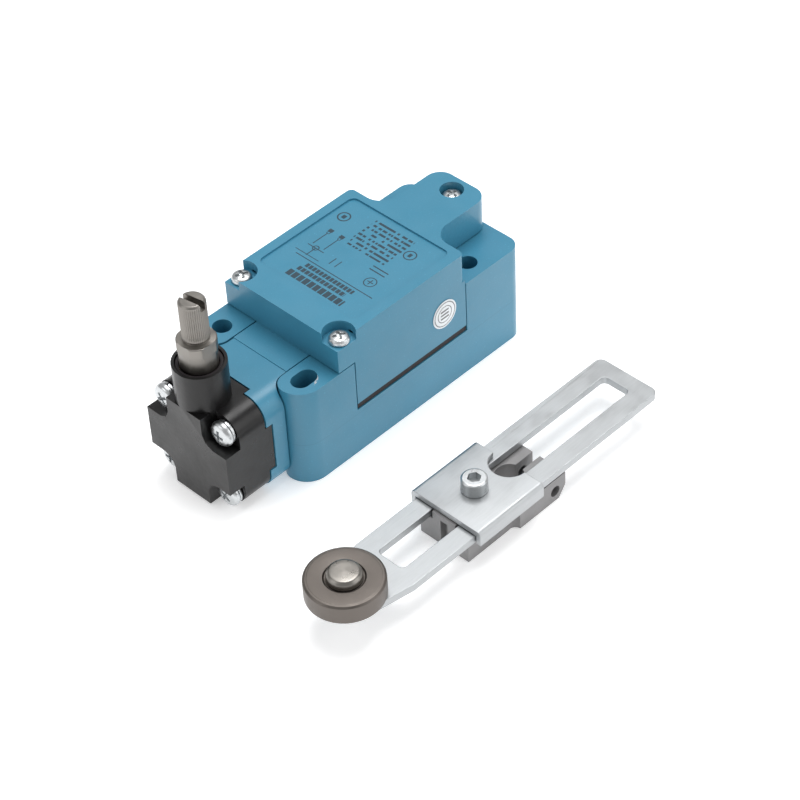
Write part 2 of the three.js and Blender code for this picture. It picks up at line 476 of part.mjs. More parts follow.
const leverArm = () => {
  const a = ARM;
  const s = new THREE.Shape();
  // straight sides, then flanks closing on the round tip about the roller pin
  const reach = a.bend - ROLLER.x;
  const tilt = Math.asin((a.half - a.tipR) / Math.hypot(reach, a.half - a.tipR) * 0.999);
  s.moveTo(a.x1 - 2, -a.half);
  s.absarc(a.x1 - 2, -a.half + 2, 2, -Math.PI / 2, 0);
  s.absarc(a.x1 - 2, a.half - 2, 2, 0, Math.PI / 2);
  s.lineTo(a.bend, a.half);
  s.absarc(ROLLER.x, 0, a.tipR, Math.PI / 2 + tilt, 1.5 * Math.PI - tilt);
  s.lineTo(a.bend, -a.half);
  s.closePath();
  const slot = roundRect((a.slot0 + a.slot1) / 2, 0, (a.slot1 - a.slot0) / 2, a.slot, 1.5);
  return cut(plate(s, LEVER.z - a.thick, LEVER.z, 8), plate(slot, 0, 20, 4),
    cylZ(2.5, 0, 20, ROLLER.x, 0, 20));
};
add('lever_arm', leverArm(), 'zinc', lever);

const bracket = () => {
  const b = BRACKET;
  const top = LEVER.z + 0.2;
  const outer = new THREE.Shape();
  const r = 1.4;
  outer.moveTo(-b.half, b.z0);
  outer.lineTo(-b.half, top + b.thick - r);
  outer.absarc(-b.half + r, top + b.thick - r, r, Math.PI, Math.PI / 2, true);
  outer.absarc(b.half - r, top + b.thick - r, r, Math.PI / 2, 0, true);
  outer.lineTo(b.half, b.z0);
  outer.lineTo(b.inner, b.z0);
  outer.lineTo(b.inner, top);
  outer.lineTo(-b.inner, top);
  outer.lineTo(-b.inner, b.z0);
  outer.closePath();
  return cut(alongX(outer, b.x0, b.x1, 4), cylZ(b.notchR, 0, 30, b.x1, 0, 32), cylZ(CAP.shank + GAP, 0, 30, 0, 0, 20));
};
add('lever_bracket', bracket(), 'zinc', lever);

const capSeat = LEVER.z + 0.2 + BRACKET.thick + 0.05;
add('clamp_screw', cut(unite(cylZ(CAP.shank, 1.2, capSeat + 0.5, 0, 0, 20), cylZ(CAP.r, capSeat, capSeat + CAP.z, 0, 0, 32)),
  cylZ(CAP.socket, capSeat + CAP.z - CAP.socketDeep, capSeat + CAP.z + 1, 0, 0, 6)), 'zinc', lever);

const roller = () => {
  const r = ROLLER;
  const c = 0.6;
  return turned([[r.bore, r.z0], [r.r - c, r.z0], [r.r, r.z0 + c], [r.r, r.z1 - c], [r.r - c, r.z1],
    [r.recessR, r.z1], [r.recessR - 0.5, r.z1 - r.recess], [r.bore, r.z1 - r.recess], [r.bore, r.z0]], 48)
    .translate([r.x, 0, 0]);
};
add('roller', roller(), 'sintered', lever);
const pinTop = ROLLER.z1 - ROLLER.recess;
add('roller_pin', turned([[0, 6.2], [3.6, 6.2], [4, 6.6], [4, 7.4], [2.2, 7.4], [2.2, 10.15], [3, 10.15],
  [3, pinTop + 0.15], [4.6, pinTop + 0.15], [4.5, pinTop + 1.7], [3.9, pinTop + 2.4], [0, pinTop + 2.7]], 36)
  .translate([ROLLER.x, 0, 0]), 'steel', lever);

export default part;
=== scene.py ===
"""Looks of a side-rotary limit switch and its loose roller lever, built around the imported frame.

Lengths in the sizes below are metres in the row frame: X along the body, Z up out of the mounting face."""

import math

import bmesh
import bpy
import numpy as np
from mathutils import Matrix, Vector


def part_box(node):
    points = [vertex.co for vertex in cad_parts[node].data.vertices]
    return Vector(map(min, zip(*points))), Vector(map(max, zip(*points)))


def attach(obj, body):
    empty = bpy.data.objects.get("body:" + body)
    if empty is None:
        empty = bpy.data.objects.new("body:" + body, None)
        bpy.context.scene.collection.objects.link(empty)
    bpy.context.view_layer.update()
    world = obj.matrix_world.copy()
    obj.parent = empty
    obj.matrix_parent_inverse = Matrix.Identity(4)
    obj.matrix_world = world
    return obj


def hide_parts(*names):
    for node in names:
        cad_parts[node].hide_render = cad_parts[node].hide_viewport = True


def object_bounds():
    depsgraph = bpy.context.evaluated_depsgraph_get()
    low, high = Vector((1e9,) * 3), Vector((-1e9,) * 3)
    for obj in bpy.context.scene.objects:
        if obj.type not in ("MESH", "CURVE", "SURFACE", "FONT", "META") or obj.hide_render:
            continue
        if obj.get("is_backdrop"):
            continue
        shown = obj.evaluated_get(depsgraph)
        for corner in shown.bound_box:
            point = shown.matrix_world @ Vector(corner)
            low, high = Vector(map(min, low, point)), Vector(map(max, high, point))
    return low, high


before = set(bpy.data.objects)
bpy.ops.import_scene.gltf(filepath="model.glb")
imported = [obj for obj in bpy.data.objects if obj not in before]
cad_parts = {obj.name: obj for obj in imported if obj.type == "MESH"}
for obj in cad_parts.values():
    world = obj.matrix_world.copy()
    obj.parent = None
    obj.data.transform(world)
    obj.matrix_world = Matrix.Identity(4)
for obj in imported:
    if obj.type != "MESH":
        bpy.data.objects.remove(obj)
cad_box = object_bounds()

bl_info = {
    "name": "Limit switch looks",
    "version": (1, 0, 0),
    "blender": (4, 5, 0),
    "location": "View3D > Sidebar > Switch",
    "description": "Builds the visible pieces, finishes and stage of a limit switch",
    "category": "Object",
}

MM = 0.001
TAU = 2 * math.pi


def length(name, default_mm, description):
    """A length property whose default is given in millimetres."""
    return bpy.props.FloatProperty(name=name, default=default_mm * MM, unit="LENGTH", description=description,
                                   precision=5)


def colour(name, default, description):
    """A linear colour property."""
    return bpy.props.FloatVectorProperty(name=name, default=default, subtype="COLOR", size=3, min=0, max=1,
                                         description=description)


class SwitchSizes(bpy.types.PropertyGroup):
    """Sizes that belong to the looks; everything else is read from the frame."""

    casting_edge: length("Casting edge", 0.55, "Rounding of the painted castings' edges")
    head_edge: length("Head edge", 0.45, "Rounding of the black head's edges")
    plate_edge: length("Plate edge", 0.22, "Rounding of the stamped plates' edges")
    hub_edge: length("Hub edge", 0.4, "Rounding of the die-cast clamp hub's edges")
    recess: length("Recess", 1.25, "Depth of the cross recess in the screws")
    arm_of_cross: length("Cross arm", 1.75, "Half length of the cross recess")
    blade: length("Blade width", 0.62, "Width of the cross recess's arms")
    hex: length("Hex", 1.5, "Half of the socket's width across flats")
    hex_depth: length("Hex depth", 2.1, "Depth of the clamp screw's hexagon socket")
    knurl: length("Knurl depth", 0.16, "Depth of the shaft's straight knurl")
    knurl_teeth: bpy.props.IntProperty(name="Knurl teeth", default=44, description="Teeth around the shaft")
    slot_width: length("Slot width", 1.6, "Width of the screwdriver slot in the shaft")
    slot_depth: length("Slot depth", 2.2, "Depth of the screwdriver slot in the shaft")
    slot_turn: bpy.props.FloatProperty(name="Slot turn", default=math.radians(10), subtype="ANGLE",
                                       description="Turn of the screwdriver slot from the Y axis")
    wire: length("Wire", 0.32, "Radius of the return springs' wire")


class SwitchColours(bpy.types.PropertyGroup):
    """Colours of the finishes, linear."""

    paint: colour("Paint", (0.045, 0.225, 0.345), "Teal-blue stoved paint")
    ink: colour("Ink", (0.012, 0.03, 0.045), "Printing on the label panel")
    black: colour("Black", (0.006, 0.0058, 0.006), "Black paint of the head")
    zinc: colour("Zinc", (0.60, 0.62, 0.63), "Zinc plate of the screws and washers")
    plate: colour("Lever plate", (0.45, 0.465, 0.475), "Zinc plate of the lever's arm and bracket")
    steel: colour("Steel", (0.27, 0.255, 0.235), "Shaft and pins")
    roller: colour("Roller", (0.155, 0.138, 0.125), "Grey-brown roller")
    cast: colour("Casting", (0.27, 0.266, 0.268), "Bare die casting")
    rubber: colour("Rubber", (0.02, 0.016, 0.018), "Gaskets and the shaft seal")
    brass: colour("Brass", (0.62, 0.42, 0.16), "Contacts and clamps")
    plastic: colour("Plastic", (0.03, 0.032, 0.036), "Terminal and contact blocks")
    nylon: colour("Nylon", (0.62, 0.58, 0.48), "Contact carrier")
    film: colour("Film", (0.78, 0.81, 0.83), "Sticker's white film")
    floor: colour("Floor", (0.93, 0.93, 0.935), "Studio floor")


def sizes():
    """The scene's sizes of the switch."""
    return bpy.context.scene.switch_sizes


def colours():
    """The scene's colours of the switch."""
    return bpy.context.scene.switch_colours


# ---- surfaces ---------------------------------------------------------------------------------------------------


def ease(x, low, high):
    """3t^2 - 2t^3 with t = (x - low) / (high - low) held to 0..1."""
    t = np.clip((x - low) / (high - low), 0, 1)
    return t * t * (3 - 2 * t)


class Piece:
    """A mesh put together from grids of points, then welded and given its body and finish."""

    def __init__(self, name):
        self.name, self.points, self.faces, self.count = name, [], [], 0

    def grid(self, points, wrap=True):
        """Quads between neighbouring points P[i, j]; wrap joins the last column to the first."""
        rows, cols = points.shape[:2]
        index = np.arange(rows * cols).reshape(rows, cols) + self.count
        across = np.roll(index, -1, axis=1) if wrap else index[:, 1:]
        here = index if wrap else index[:, :-1]
        quads = np.stack([here[:-1], across[:-1], across[1:], here[1:]], axis=-1).reshape(-1, 4)
        self.faces.append(quads)
        self.points.append(points.reshape(-1, 3))
        self.count += rows * cols
        return self

    def build(self, body, slot, material, nodes=(), sharp=35):
        """The finished object, riding on body and standing for the given CAD nodes."""
        mesh = bpy.data.meshes.new(self.name)
        points, faces = np.concatenate(self.points), np.concatenate(self.faces)
        mesh.from_pydata(points.tolist(), [], faces.tolist())
        weld(mesh)
        return adopt(bpy.data.objects.new(self.name, mesh), body, material, nodes, sharp)


def weld(mesh, distance=2e-7, flat=None):
    """Merges points closer than distance; flat, in radians, also joins faces that lie in one plane."""
    bm = bmesh.new()
    bm.from_mesh(mesh)
    bmesh.ops.remove_doubles(bm, verts=bm.verts, dist=distance)
    bmesh.ops.dissolve_degenerate(bm, edges=bm.edges, dist=distance)
    if flat:
        bmesh.ops.dissolve_limit(bm, angle_limit=flat, verts=bm.verts, edges=bm.edges)
    bmesh.ops.recalc_face_normals(bm, faces=bm.faces)
    bm.to_mesh(mesh)
    bm.free()


def adopt(piece, body, material, nodes=(), sharp=35):
    """Links a piece, gives it its material, smooths it except at edges over sharp degrees, hangs it on its body and
    hides the CAD nodes it stands for.
    """
    bpy.context.scene.collection.objects.link(piece)
    piece.data.materials.clear()
    piece.data.materials.append(material)
    piece.data.polygons.foreach_set("use_smooth", np.ones(len(piece.data.polygons), bool))
    piece.data.set_sharp_from_angle(angle=math.radians(sharp))
    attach(piece, body)
    if nodes:
        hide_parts(*nodes)
    return piece


def placed(points, centre, axis="z"):
    """A surface made about +Z, turned to +Z or -X and moved to centre: (x, y, z) or (-z, y, x), plus centre."""
    x, y, z = points[..., 0], points[..., 1], points[..., 2]
    facing = {"z": (x, y, z), "-x": (-z, y, x)}[axis]
    return np.stack(facing, axis=-1) + np.asarray(centre)


def turned(profile, columns=64, shape=None, start=0.0, sweep=TAU):
    """P(i, a) = (r_i cos a, r_i sin a, z_i); shape(r, z, a) may change r and z."""
    profile = np.asarray(profile, float)
    wrap = abs(sweep - TAU) < 1e-9
    angle = start + np.linspace(0, sweep, columns, endpoint=not wrap)
    r = np.repeat(profile[:, :1], columns, axis=1)
    z = np.repeat(profile[:, 1:2], columns, axis=1)
    a = np.repeat(angle[None, :], len(profile), axis=0)
    if shape:
        r, z = shape(r, z, a)
    return np.stack([r * np.cos(a), r * np.sin(a), z], axis=-1)


CORNER_SHARE = 0.45


def rounded(corners, radius, steps=4):
    """Profile through (r, z) corners, each inner corner replaced by the quadratic curve
    (1 - t)^2 A + 2 t (1 - t) B + t^2 C that starts and ends radius away, or CORNER_SHARE of the shorter side."""
    points = [np.asarray(corners[0], float)]
    for before, at, after in zip(corners, corners[1:], corners[2:]):
        before, at, after = (np.asarray(p, float) for p in (before, at, after))
        back, ahead = before - at, after - at
        reach = min(radius, np.linalg.norm(back) * CORNER_SHARE, np.linalg.norm(ahead) * CORNER_SHARE)
        first = at + back / np.linalg.norm(back) * reach
        last = at + ahead / np.linalg.norm(ahead) * reach
        t = np.linspace(0, 1, steps + 1)[:, None]
        points.extend((1 - t) ** 2 * first + 2 * t * (1 - t) * at + t ** 2 * last)
    points.append(np.asarray(corners[-1], float))
    return np.array(points)


def recessed_top(outline, depth_at, columns=120, rings=44):
    """Outline (r, z) from the bottom up to the crown, closed by a polar height field.
    The crown's height at (r, a) is its outline's z less depth_at(r cos a, r sin a)."""
    outline = np.asarray(outline, float)
    crown = outline[np.argmax(outline[:, 0] >= outline[:, 0].max() - 1e-9):]
    crown = crown[::-1]
    r = np.linspace(crown[-1, 0], 0, rings)
    z = np.interp(r, crown[:, 0], crown[:, 1])
    wall = outline[: len(outline) - len(crown) + 1]
    profile = np.concatenate([wall, np.stack([r, z], axis=1)])
    field = np.zeros(len(profile), bool)
    field[len(wall):] = True

    def shape(radius, height, a):
        deep = depth_at(radius * np.cos(a), radius * np.sin(a))
        return radius, np.where(field[:, None], height - deep, height)

    return turned(profile, columns, shape)


TIP_SLOPE = 0.35


def cross_depth(reach, width, depth, edge=0.12 * MM):
    """Depth inside a cross of the given arm length and width, easing to 0 over edge and sloped towards the tips:
    depth (1 - TIP_SLOPE max(|x|, |y|) / reach) where min(|x|, |y|) is under half the width."""
    def at(x, y):
        far, near = np.maximum(np.abs(x), np.abs(y)), np.minimum(np.abs(x), np.abs(y))
        inside = (1 - ease(near, width / 2, width / 2 + edge)) * (1 - ease(far, reach - edge, reach))
        return depth * inside * (1 - TIP_SLOPE * far / reach)
    return at


def hex_depth(half_flats, depth, edge=0.1 * MM):
    """Depth inside a hexagon, whose distance is max |x cos k60 + y sin k60|, easing to 0 over edge."""
    def at(x, y):
        d = np.max([np.abs(x * math.cos(k * math.pi / 3) + y * math.sin(k * math.pi / 3)) for k in range(3)], axis=0)
        return depth * (1 - ease(d, half_flats, half_flats + edge))
    return at


CLOSED_TURNS = 0.8
CLOSED_RISE = 0.035
STEPS_A_TURN = 28


def helix(radius, start, end, turns, centre_z, wire, sides=10):
    """Wire about the X axis: C(t) = (start + (end - start) s(t), R cos 2 pi n t, R sin 2 pi n t), where s rises only
    by CLOSED_RISE over the closed turns at both ends. The tube's section is a circle across C. Its first end is
    closed to a point and its last end is open."""
    t = np.linspace(0, 1, int(turns * STEPS_A_TURN))
    closed = CLOSED_TURNS / turns
    s = np.interp(t, [0, closed, 1 - closed, 1], [0, CLOSED_RISE, 1 - CLOSED_RISE, 1])
    a = TAU * turns * t
    centre = np.stack([start + (end - start) * s, radius * np.cos(a), centre_z + radius * np.sin(a)], axis=-1)
    outward = np.stack([np.zeros_like(a), np.cos(a), np.sin(a)], axis=-1)
    along = np.gradient(centre, axis=0)
    along /= np.linalg.norm(along, axis=1, keepdims=True)
    side = np.cross(along, outward)
    b = np.linspace(0, TAU, sides, endpoint=False)
    ring = np.cos(b)[None, :, None] * outward[:, None] + np.sin(b)[None, :, None] * side[:, None]
    tube = centre[:, None] + wire * ring
    cap = np.repeat(centre[:1, None], sides, axis=1)
    return np.concatenate([cap, tube])


def middle(node):
    """Centre, lowest and highest corner of a CAD node."""
    low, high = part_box(node)
    return (np.array(low) + np.array(high)) / 2, np.array(low), np.array(high)


# ---- finishes ---------------------------------------------------------------------------------------------------


class Socket:
    """One output of a node. Arithmetic and comparison on it add Math nodes."""

    def __init__(self, graph, out):
        self.graph, self.out = graph, out

    def __add__(self, other):
        return self.graph.math("ADD", self, other)

    def __sub__(self, other):
        return self.graph.math("SUBTRACT", self, other)

    def __rsub__(self, other):
        return self.graph.math("SUBTRACT", other, self)

    def __mul__(self, other):
        return self.graph.math("MULTIPLY", self, other)

    def __gt__(self, other):
        return self.graph.math("GREATER_THAN", self, other)

    def __lt__(self, other):
        return self.graph.math("LESS_THAN", self, other)

    def __and__(self, other):
        return self.graph.math("MINIMUM", self, other)

    def __or__(self, other):
        return self.graph.math("MAXIMUM", self, other)

    def __abs__(self):
        return self.graph.math("ABSOLUTE", self)

    __radd__, __rmul__ = __add__, __mul__

    def sine(self):
        """Sine of a value in radians."""
        return self.graph.math("SINE", self)

    def part(self):
        """What is left over a whole number, 0..1."""
        return self.graph.math("FRACT", self)

    def between(self, low, high):
        """1 where low < value < high, else 0."""
        return (self > low) & (self < high)

    def scaled(self, low, high, to_low=0.0, to_high=1.0):
        """low..high stretched to to_low..to_high, and held at its ends."""
        return self.graph.make("ShaderNodeMapRange", {"Value": self, 1: low, 2: high, 3: to_low, 4: to_high})


class Finish:
    """A material with one Principled shader, whose inputs are set by name."""

    def __init__(self, name, base, roughness, metallic=0.0, coat=0.0, coat_roughness=0.1):
        self.material = bpy.data.materials.new(name)
        self.material.use_nodes = True
        self.tree = self.material.node_tree
        self.shader = self.tree.nodes["Principled BSDF"]
        self.point = self.make("ShaderNodeTexCoord", out="Object")
        self.material.diffuse_color = (*base, 1)
        self.set("Base Color", (*base, 1))
        self.set("Roughness", roughness)
        self.set("Metallic", metallic)
        self.set("Coat Weight", coat)
        self.set("Coat Roughness", coat_roughness)

    def make(self, kind, inputs=None, out=0, **settings):
        """A node with its settings and inputs; a Socket input is linked, any other is set as the value."""
        node = self.tree.nodes.new(kind)
        for key, value in settings.items():
            setattr(node, key, value)
        for key, value in (inputs or {}).items():
            if isinstance(value, Socket):
                self.tree.links.new(value.out, node.inputs[key])
            else:
                node.inputs[key].default_value = value
        return Socket(self, node.outputs[out])

    def math(self, operation, first, second=0.0):
        """A Math node's result."""
        return self.make("ShaderNodeMath", {0: first, 1: second}, operation=operation)

    def set(self, name, value):
        """Sets or links one input of the shader."""
        if isinstance(value, Socket):
            self.tree.links.new(value.out, self.shader.inputs[name])
        else:
            self.shader.inputs[name].default_value = value

    def axes(self):
        """Object coordinates in millimetres."""
        scaled = self.make("ShaderNodeVectorMath", {0: self.point, "Scale": 1000.0}, operation="SCALE")
        return [self.make("ShaderNodeSeparateXYZ", {0: scaled}, out=k) for k in "XYZ"]

    def noise(self, scale, detail=2.0, stretch=(1, 1, 1), roughness=0.5):
        """Noise 0..1 with scale features a metre, its coordinates multiplied by stretch."""
        vector = self.make("ShaderNodeVectorMath", {0: self.point, 1: stretch}, operation="MULTIPLY")
        return self.make("ShaderNodeTexNoise", {"Vector": vector, "Scale": scale, "Detail": detail,
                                                "Roughness": roughness})

    def mix(self, factor, first, second):
        """Colour from first to second as factor goes from 0 to 1."""
        return self.make("ShaderNodeMix", {0: factor, 6: first, 7: second}, out=2, data_type="RGBA")

    def bump(self, height, distance, strength=1.0):
        """Height 0..1 stands for distance millimetres of relief."""
        self.set("Normal", self.make("ShaderNodeBump", {"Height": height, "Distance": distance * MM,
                                                        "Strength": strength}))
        return self


def tint(base, amount):
    """The base colour made lighter or darker, with its alpha."""
    return (*[min(1, c * amount) for c in base], 1)


def paint(name, base, roughness=0.34, grain=0.03):
    """Stoved paint: broad cloudiness, fine specks and a light orange-peel relief."""
    f = Finish(name, base, roughness, coat=0.1, coat_roughness=0.22)
    cloud = f.noise(45, 3)
    specks = f.noise(2600, 2).scaled(0.66, 0.74)
    f.body = f.mix(specks * 0.35, f.mix(cloud, tint(base, 0.9), tint(base, 1.1)), tint(base, 1.9))
    f.set("Base Color", f.body)
    f.set("Roughness", f.noise(160, 3).scaled(0.3, 0.7, roughness - 0.05, roughness + 0.08))
    f.bump(f.noise(900, 3) * 0.7 + f.noise(220, 2) * 0.3, grain)
    return f


# printing on the label panel, in millimetres of the row frame
NAME_BARS = (((-12.2, -9.9, -10.5, 9.5), 0.3, 0.52, 0.16),      # x0, x1, y0, y1; shift, letters a mm, gap
             ((-9.1, -7.6, -8.5, 8.5), 0.0, 0.72, 0.18),
             ((-7.0, -5.5, -9.5, 7.5), 0.0, 0.8, 0.2))
BARS = (
    (-4.75, -4.45, -14.6, 13),                                                      # rule
    (-3.6, 0.0, 10.2, 10.5), (0.9, 6.2, 8.2, 8.5), (0.9, 6.2, 12.2, 12.5),          # contact diagram
    (-3.4, -3.15, 6, 14.5), (-0.2, 0.1, 7.4, 13.2), (7.0, 8.2, 7.6, 9.1), (7.0, 8.2, 11.6, 13.1),
    (-2.2, 0.6, 1.2, 1.5), (-2.2, 0.6, 3.2, 3.5),
    (-1.4, 0.6, -9.95, -9.65), (-0.55, -0.25, -10.8, -8.8),                         # marks
    (13.2, 14.6, 13.3, 14.5), (13.2, 14.6, -10.6, -9.6), (3.2, 3.6, -11.2, -5.8), (4.6, 5.0, -11.2, -5.8))
RINGS = (                                                                           # x, y, radius, line
    (0.0, 10.35, 0.85, 0.3), (6.6, 8.3, 0.45, 0.25), (6.6, 12.3, 0.45, 0.25),
    (-0.4, -9.8, 1.7, 0.3), (13.9, 13.9, 1.7, 0.4), (13.9, -10.1, 1.7, 0.35))
SMALL_PRINT = {"box": (6.6, 19.2, -7.6, 6.4), "rows": 0.62, "height": 0.48, "shuffle": 7.31, "dashes": 1.1, "gap": 0.44}
PANEL_OVER = 40.0


def panel_ink(f):
    """Mask of the label panel's printing: a rule, bars where names would be, a contact diagram, ring and earth
    marks, and rows of dashes in place of small print."""
    x, y, z = f.axes()

    def bar(x0, x1, y0, y1):
        return x.between(x0, x1) & y.between(y0, y1)

    def ring(cx, cy, radius, width):
        far = f.math("SQRT", (x - cx) * (x - cx) + (y - cy) * (y - cy))
        return abs(far - radius) < width / 2

    ink = bar(*BARS[0])
    for box in BARS[1:]:
        ink = ink | bar(*box)
    for circle in RINGS:
        ink = ink | ring(*circle)
    for box, shift, pitch, gap in NAME_BARS:
        ink = ink | bar(*box) & (((y + shift) * pitch).part() > gap)
    rows = x * SMALL_PRINT["rows"]
    spot = f.make("ShaderNodeCombineXYZ", {"X": f.math("FLOOR", rows) * SMALL_PRINT["shuffle"],
                                           "Y": y * SMALL_PRINT["dashes"]})
    dashes = f.make("ShaderNodeTexNoise", {"Vector": spot, "Scale": 1.0, "Detail": 0.0}) > SMALL_PRINT["gap"]
    small = bar(*SMALL_PRINT["box"]) & (rows.part() < SMALL_PRINT["height"]) & dashes
    return (ink | small) & (z > PANEL_OVER)


PARTING = {"z": 13, "half": 0.12, "strength": 0.25}
RUBBED = {"x": -30, "y": -15, "inner": 3.0, "outer": 3.6, "over": 29.9, "y_under": -16.2, "x_over": -30.5}
BARE_METAL = (0.5, 0.5, 0.5, 1)


def blue_casting(name, printed=False, parting=False):
    """Blue paint, with the label panel's printing or the base's parting line and rubbed slot if asked."""
    c = colours()
    f = paint(name, c.paint)
    x, y, z = f.axes()
    body = f.body
    if printed:
        ink = panel_ink(f)
        body = f.mix(ink * 0.93, body, (*c.ink, 1))
        f.set("Base Color", body)
        f.set("Roughness", f.noise(160, 3).scaled(0.3, 0.7, 0.3, 0.42))
    if parting:
        # faint line of the casting's mould halves around the base, and bare metal rubbed at the slotted hole's mouth
        line = abs(z - PARTING["z"]) < PARTING["half"]
        dx, dy = x - RUBBED["x"], y - RUBBED["y"]
        far = f.math("SQRT", dx * dx + dy * dy)
        rubbed = (far.between(RUBBED["inner"], RUBBED["outer"]) & (z > RUBBED["over"]) & (y < RUBBED["y_under"])
                  & (x > RUBBED["x_over"]) & (f.noise(700, 2) > 0.5))
        lined = f.mix(line * PARTING["strength"], body, tint(c.paint, 0.6))
        f.set("Base Color", f.mix(rubbed * 0.8, lined, BARE_METAL))
    return f.material


def plated(name, base, roughness=0.27, brushed=(1, 1, 1)):
    """Plated metal: cloudy zinc with roughness patches, and streaks along the stretch."""
    f = Finish(name, base, roughness, metallic=1.0)
    cloud = f.noise(140, 4)
    streak = f.noise(1500, 2, brushed)
    spangle = cloud * 0.65 + streak.scaled(0.3, 0.7, 0.05, 0.3)
    f.set("Base Color", f.mix(spangle, tint(base, 0.82), tint(base, 1.12)))
    f.set("Roughness", cloud.scaled(0.3, 0.7, roughness - 0.08, roughness + 0.08) + streak * 0.1)
    return f.bump(streak * 0.4 + f.noise(2600, 2) * 0.6, 0.002).material


def steel(name, base, roughness=0.36, rings_about=None):
    """Turned steel; rings_about = (x, y) in millimetres adds the concentric tool marks of a faced end."""
    f = Finish(name, base, roughness, metallic=1.0)
    cloud = f.noise(260, 4)
    f.set("Base Color", f.mix(cloud, tint(base, 0.8), tint(base, 1.12)))
    f.set("Roughness", cloud.scaled(0.3, 0.7, roughness - 0.06, roughness + 0.12))
    height = f.noise(1400, 3) * 0.6
    if rings_about is not None:
        x, y, z = f.axes()
        dx, dy = x - rings_about[0], y - rings_about[1]
        far = f.math("SQRT", dx * dx + dy * dy)
        height = height + (far * 26).sine() * 0.35 + (z * 21).sine() * 0.25
    return f.bump(height, 0.012).material


def cast_metal(name, base):
    """Bare die casting: cloudy grey over a fine cast grain."""
    f = Finish(name, base, 0.55, metallic=0.45)
    cloud = f.noise(120, 4)
    f.set("Base Color", f.mix(cloud, tint(base, 0.75), tint(base, 1.2)))
    return f.bump(f.noise(700, 4, roughness=0.65), 0.05).material


def plain(name, base, roughness, grain=0.01):
    """Moulded plastic or rubber: slightly uneven colour over a fine grain."""
    f = Finish(name, base, roughness)
    f.set("Base Color", f.mix(f.noise(300, 2), tint(base, 0.85), tint(base, 1.15)))
    return f.bump(f.noise(900, 3), grain).material


def black_paint(name):
    """Glossy black over cast grain."""
    f = Finish(name, colours().black, 0.3, coat=0.05, coat_roughness=0.25)
    f.set("Specular IOR Level", 0.36)
    f.set("Roughness", f.noise(200, 3).scaled(0.3, 0.7, 0.26, 0.4))
    return f.bump(f.noise(520, 4, roughness=0.6), 0.035).material


# sticker's marks, in millimetres about its centre: radii of the two rings, bars' half length, half height and pitch
STICKER = {"outer": 3.7, "outer_half": 0.14, "inner": 2.5, "inner_half": 0.12,
           "length": 1.5, "half": 0.28, "pitch": 1.1}
STICKER_INK = (0.02, 0.02, 0.025, 1)


def sticker_film(name, centre):
    """White film with two printed rings and three short bars, about centre (x, z) in millimetres."""
    c = colours()
    k = STICKER
    f = Finish(name, c.film, 0.3, coat=0.4)
    x, _, z = f.axes()
    dx, dz = x - centre[0], z - centre[1]
    far = f.math("SQRT", dx * dx + dz * dz)
    rings = (abs(far - k["outer"]) < k["outer_half"]) | (abs(far - k["inner"]) < k["inner_half"])
    bars = ((abs(dz - k["pitch"]) < k["half"]) | (abs(dz) < k["half"]) | (abs(dz + k["pitch"]) < k["half"])
            ) & (abs(dx) < k["length"])
    f.set("Base Color", f.mix((rings | bars) * 0.85, (*c.film, 1), STICKER_INK))
    return f.material


def finish(name):
    """The shared material switch_NAME, made once."""
    label = "switch_" + name
    found = bpy.data.materials.get(label)
    if found:
        return found
    c = colours()
    lever_axis = [float(v) / MM for v in middle("roller_pin")[0]]
    make = {
        "zinc": lambda n: plated(n, c.zinc),
        "plate": lambda n: plated(n, c.plate, 0.38, (0.15, 1.5, 1)),
        "steel": lambda n: steel(n, c.steel),
        "roller_steel": lambda n: steel(n, c.roller, 0.42, lever_axis[:2]),
        "pin_steel": lambda n: steel(n, c.steel, 0.3, lever_axis[:2]),
        "die_cast": lambda n: cast_metal(n, c.cast),
        "rubber": lambda n: plain(n, c.rubber, 0.75, 0.03),
        "dark_plastic": lambda n: plain(n, c.plastic, 0.45),
        "nylon": lambda n: plain(n, c.nylon, 0.5),
        "brass_sheet": lambda n: plated(n, c.brass, 0.3),
        "head_black": black_paint,
        "cover_blue": lambda n: blue_casting(n, printed=True),
        "base_blue": lambda n: blue_casting(n, parting=True),
    }[name]
    return make(label)

# ---- pieces -----------------------------------------------------------------------------------------------------

CAD_WELD = 2e-6
FLAT_WITHIN = math.radians(1.5)
EDGE_OVER = math.radians(28)


def softened(node, body, material, edge, segments=3):
    """The CAD node's own solid with its edges rounded: points merged, flat faces joined, then a Bevel."""
    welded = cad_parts[node].data.copy()
    weld(welded, CAD_WELD, FLAT_WITHIN)
    mesh = bpy.data.meshes.new(node + "_shell")
    mesh.from_pydata([v.co[:] for v in welded.vertices], [], [f.vertices[:] for f in welded.polygons])
    bpy.data.meshes.remove(welded)
    piece = adopt(bpy.data.objects.new(mesh.name, mesh), body, material, [node], 180)
    bevel = piece.modifiers.new("edge", "BEVEL")
    bevel.width, bevel.segments, bevel.limit_method = edge, segments, "ANGLE"
    bevel.angle_limit = EDGE_OVER
    bevel.use_clamp_overlap = True
    bevel.harden_normals = True
    return piece


def finished(pieces):
    """An operator's result; an operator that made nothing is an error."""
    if not pieces:
        raise RuntimeError("no piece was made")
    return {"FINISHED"}


class SWITCH_OT_castings(bpy.types.Operator):
    """Painted base and cover and the black head, with the castings' rounded edges"""

    bl_idname = "switch.castings"
    bl_label = "Castings"

    def execute(self, context):
        s = sizes()
        return finished([
            softened("base", "housing", finish("base_blue"), s.casting_edge),
            softened("cover", "plug_in_unit", finish("cover_blue"), s.casting_edge),
            softened("head", "plug_in_unit", finish("head_black"), s.head_edge)])


